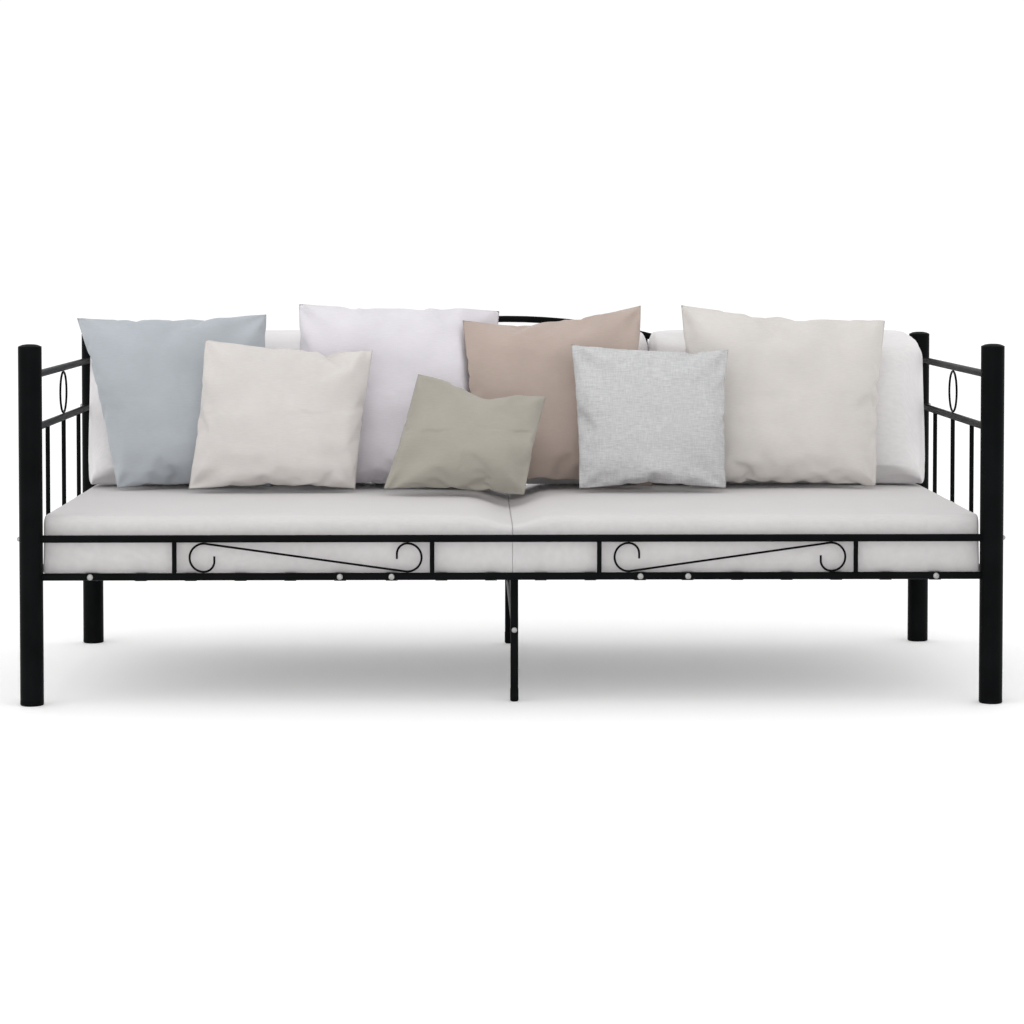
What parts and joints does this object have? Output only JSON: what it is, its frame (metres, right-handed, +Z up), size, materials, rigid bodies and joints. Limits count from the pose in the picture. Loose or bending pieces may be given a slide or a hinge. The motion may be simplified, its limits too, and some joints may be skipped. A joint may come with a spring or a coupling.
{
  "type": "daybed",
  "caption": "Black steel tube daybed with three guarded sides, an arched back, front scrolls, a two-part mattress, back cushions and loose pillows.",
  "frame": {"origin": "middle of the length and depth, on the floor", "axes": "+X along the bed to the sitter's left, +Y from the open front to the back, +Z up"},
  "size_m": [2.1092, 0.9798, 0.8485],
  "materials": {
    "frame_black": "satin black powder coat",
    "black_plastic": "moulded, satin",
    "zinc_steel": "bright zinc plate",
    "mattress_cover": "light warm grey woven cover",
    "white_cotton": "white cotton",
    "blue_grey_fabric": "blue-grey brushed cotton",
    "lilac_fabric": "pale lilac cotton",
    "taupe_fabric": "taupe cotton",
    "beige_fabric": "pale beige cotton",
    "cream_fabric": "cream cotton",
    "linen_fabric": "light grey melange linen",
    "sage_fabric": "sage green cotton"
  },
  "bodies": {
    "frame": {"front_left_post": "frame_black", "front_right_post": "frame_black", "rear_left_post": "frame_black", "rear_right_post": "frame_black", "left_side_top_rail": "frame_black", "left_side_mid_rail": "frame_black", "left_side_lower_rail": "frame_black", "left_side_bars": "frame_black", "left_side_ring": "frame_black", "right_side_top_rail": "frame_black", "right_side_mid_rail": "frame_black", "right_side_lower_rail": "frame_black", "right_side_bars": "frame_black", "right_side_ring": "frame_black", "front_guard_rail_left": "frame_black", "front_guard_rail_right": "frame_black", "front_base_rail_left": "frame_black", "front_base_rail_right": "frame_black", "front_guard_bars": "frame_black", "left_scroll": "frame_black", "right_scroll": "frame_black", "back_arch_rail": "frame_black", "back_mid_rail": "frame_black", "back_base_rail_left": "frame_black", "back_base_rail_right": "frame_black", "back_upper_bars": "frame_black", "back_lower_bars": "frame_black", "back_rings": "frame_black", "left_slats": "frame_black", "left_slat_bars": "frame_black", "middle_slats": "frame_black", "middle_slat_bars": "frame_black", "right_slats": "frame_black", "right_slat_bars": "frame_black", "front_leg_saddle": "frame_black", "back_leg_saddle": "frame_black", "front_centre_leg": "frame_black", "back_centre_leg": "frame_black", "leg_stretcher": "frame_black", "post_caps": "black_plastic", "post_feet": "black_plastic", "leg_feet": "black_plastic", "slat_bolts": "zinc_steel", "post_bolts": "zinc_steel", "stretcher_bolts": "zinc_steel", "rail_spigots": "zinc_steel"},
    "mattress": {"left_mattress_pad": "mattress_cover", "right_mattress_pad": "mattress_cover"},
    "left_back_cushion": {"left_back_cushion": "white_cotton"},
    "middle_back_cushion": {"middle_back_cushion": "white_cotton"},
    "right_back_cushion": {"right_back_cushion": "white_cotton"},
    "blue_grey_pillow": {"blue_grey_pillow": "blue_grey_fabric"},
    "lilac_pillow": {"lilac_pillow": "lilac_fabric"},
    "taupe_pillow": {"taupe_pillow": "taupe_fabric"},
    "beige_pillow": {"beige_pillow": "beige_fabric"},
    "cream_pillow": {"cream_pillow": "cream_fabric"},
    "linen_pillow": {"linen_pillow": "linen_fabric"},
    "sage_pillow": {"sage_pillow": "sage_fabric"}
  },
  "joints": [
    {"name": "mattress_lift", "type": "slide", "parent": "frame", "child": "mattress", "axis": [0, 0, 1], "range_m": [0, 0.43]},
    {"name": "left_back_cushion_lift", "type": "slide", "parent": "mattress", "child": "left_back_cushion", "axis": [0, 0.1736, 0.9848], "range_m": [0, 0.22]},
    {"name": "middle_back_cushion_lift", "type": "slide", "parent": "mattress", "child": "middle_back_cushion", "axis": [0, 0.1736, 0.9848], "range_m": [0, 0.22]},
    {"name": "right_back_cushion_lift", "type": "slide", "parent": "mattress", "child": "right_back_cushion", "axis": [0, 0.1736, 0.9848], "range_m": [0, 0.22]},
    {"name": "blue_grey_pillow_lift", "type": "slide", "parent": "mattress", "child": "blue_grey_pillow", "axis": [0, 0.1736, 0.9848], "range_m": [0, 0.22]},
    {"name": "lilac_pillow_lift", "type": "slide", "parent": "mattress", "child": "lilac_pillow", "axis": [0, 0.1736, 0.9848], "range_m": [0, 0.22]},
    {"name": "taupe_pillow_lift", "type": "slide", "parent": "mattress", "child": "taupe_pillow", "axis": [0, 0.1736, 0.9848], "range_m": [0, 0.22]},
    {"name": "beige_pillow_lift", "type": "slide", "parent": "mattress", "child": "beige_pillow", "axis": [0, 0.1736, 0.9848], "range_m": [0, 0.22]},
    {"name": "cream_pillow_lift", "type": "slide", "parent": "mattress", "child": "cream_pillow", "axis": [0, 0.1736, 0.9848], "range_m": [0, 0.22]},
    {"name": "linen_pillow_lift", "type": "slide", "parent": "mattress", "child": "linen_pillow", "axis": [0, 0.1736, 0.9848], "range_m": [0, 0.22]},
    {"name": "sage_pillow_lift", "type": "slide", "parent": "mattress", "child": "sage_pillow", "axis": [0, 0.1736, 0.9848], "range_m": [0, 0.22]}
  ]
}
